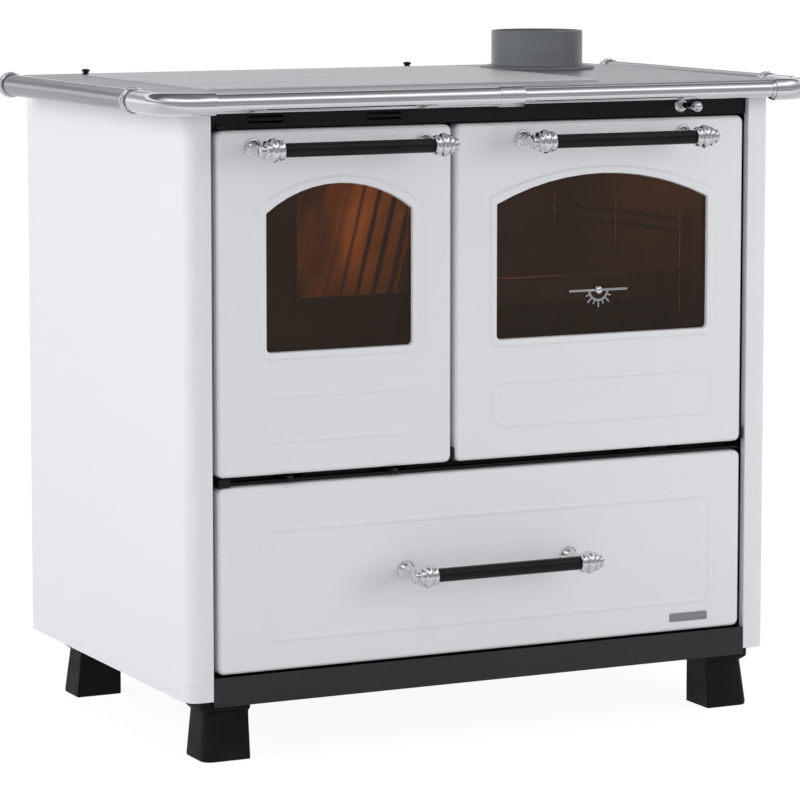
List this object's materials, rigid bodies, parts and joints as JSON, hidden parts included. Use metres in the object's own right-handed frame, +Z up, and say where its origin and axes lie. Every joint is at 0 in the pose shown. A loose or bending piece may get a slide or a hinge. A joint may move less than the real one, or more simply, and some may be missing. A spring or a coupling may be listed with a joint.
{
  "type": "wood cookstove",
  "caption": "White-enamelled wood cookstove with a glazed firebox door, a glazed drop-down oven door, a wood drawer, a steel hob with a flue collar and a hand rail round the hob.",
  "frame": {"origin": "on the floor, at the middle of the overall box seen from above", "axes": "+X to the right seen from the front, +Y to the back, +Z up; the doors face -Y"},
  "size_m": [0.973, 0.6334, 0.9118],
  "materials": {
    "white_enamel": "glossy vitreous enamel",
    "black_paint": "satin heat-proof black",
    "plinth_paint": "satin charcoal",
    "soot_steel": "dull, darkened by smoke",
    "hob_steel": "satin",
    "collar_paint": "satin grey",
    "chrome": "polished",
    "satin_tube": "satin",
    "grip_black": "semi-gloss",
    "door_glass": "clear, dark tinted",
    "rope_seal": "braided glass rope",
    "cast_iron": "rough cast",
    "fire_clay": "matt, smoked",
    "oven_steel": "smooth dark enamel",
    "bare_steel": "satin"
  },
  "bodies": {
    "stove_body": {"foot_front_left": "black_paint", "foot_front_right": "black_paint", "foot_rear_left": "black_paint", "foot_rear_right": "black_paint", "base_frame": "plinth_paint", "side_panel_left": "white_enamel", "side_panel_right": "white_enamel", "back_panel": "black_paint", "rear_outlet_cover": "black_paint", "front_frame": "black_paint", "firebox_casing": "soot_steel", "firebox_liner_left": "fire_clay", "firebox_liner_right": "fire_clay", "firebox_liner_back": "fire_clay", "grate": "cast_iron", "ash_pan": "bare_steel", "oven_box": "oven_steel", "oven_rack_left": "chrome", "oven_rack_right": "chrome", "baking_tray": "cast_iron", "smoke_casing": "soot_steel", "hob_frame": "hob_steel", "hob_plate": "hob_steel", "flue_collar": "collar_paint", "rail_left": "satin_tube", "rail_right": "satin_tube", "rail_elbow_left": "chrome", "rail_elbow_right": "chrome", "rail_front_left": "chrome", "rail_front_right": "chrome", "rail_end_left": "chrome", "rail_end_right": "chrome", "firebox_hinge_rod": "bare_steel", "oven_hinge_rod": "bare_steel", "drawer_runner_left": "bare_steel", "drawer_runner_right": "bare_steel", "bypass_rosette": "chrome"},
    "firebox_door": {"firebox_door_panel": "white_enamel", "firebox_door_glass": "door_glass", "firebox_door_back": "black_paint", "firebox_door_seal": "rope_seal", "firebox_door_handle": "chrome", "firebox_door_handle_grip": "grip_black"},
    "oven_door": {"oven_door_panel": "white_enamel", "oven_door_glass": "door_glass", "oven_door_back": "black_paint", "oven_door_seal": "rope_seal", "oven_door_handle": "chrome", "oven_door_handle_grip": "grip_black", "thermometer_dial": "chrome"},
    "thermometer_needle": {"thermometer_pointer": "chrome"},
    "drawer": {"drawer_front": "white_enamel", "drawer_box": "bare_steel", "drawer_handle": "chrome", "drawer_handle_grip": "grip_black"},
    "bypass": {"bypass_rod": "chrome"},
    "air_left": {"air_slider_left": "grip_black"},
    "air_right": {"air_slider_right": "grip_black"},
    "cook_ring": {"hob_ring": "hob_steel"},
    "cook_lid": {"hob_lid": "hob_steel"}
  },
  "joints": [
    {"name": "firebox_door_hinge", "type": "hinge", "parent": "stove_body", "child": "firebox_door", "pos_m": [-0.376, -0.23225, 0.588], "axis": [0, 0, -1], "range_deg": [0, 110]},
    {"name": "oven_door_hinge", "type": "hinge", "parent": "stove_body", "child": "oven_door", "pos_m": [0.169, -0.23225, 0.378], "axis": [1, 0, 0], "range_deg": [0, 88], "stiffness_Nm_per_rad": 6, "springref_deg": -22.92},
    {"name": "thermometer_needle_turn", "type": "hinge", "parent": "oven_door", "child": "thermometer_needle", "pos_m": [0.1646, -0.24225, 0.5835], "axis": [0, -1, 0], "range_deg": [0, 180], "stiffness_Nm_per_rad": 0.02},
    {"name": "drawer_slide", "type": "slide", "parent": "stove_body", "child": "drawer", "axis": [0, -1, 0], "range_m": [0, 0.38]},
    {"name": "bypass_pull", "type": "slide", "parent": "stove_body", "child": "bypass", "axis": [0, -1, 0], "range_m": [0, 0.06]},
    {"name": "air_left_slide", "type": "slide", "parent": "stove_body", "child": "air_left", "axis": [1, 0, 0], "range_m": [0, 0.03]},
    {"name": "air_right_slide", "type": "slide", "parent": "stove_body", "child": "air_right", "axis": [1, 0, 0], "range_m": [0, 0.03]},
    {"name": "cook_ring_lift", "type": "slide", "parent": "stove_body", "child": "cook_ring", "axis": [0, 0, 1], "range_m": [0, 0.1]},
    {"name": "cook_lid_lift", "type": "slide", "parent": "cook_ring", "child": "cook_lid", "axis": [0, 0, 1], "range_m": [0, 0.1]}
  ]
}
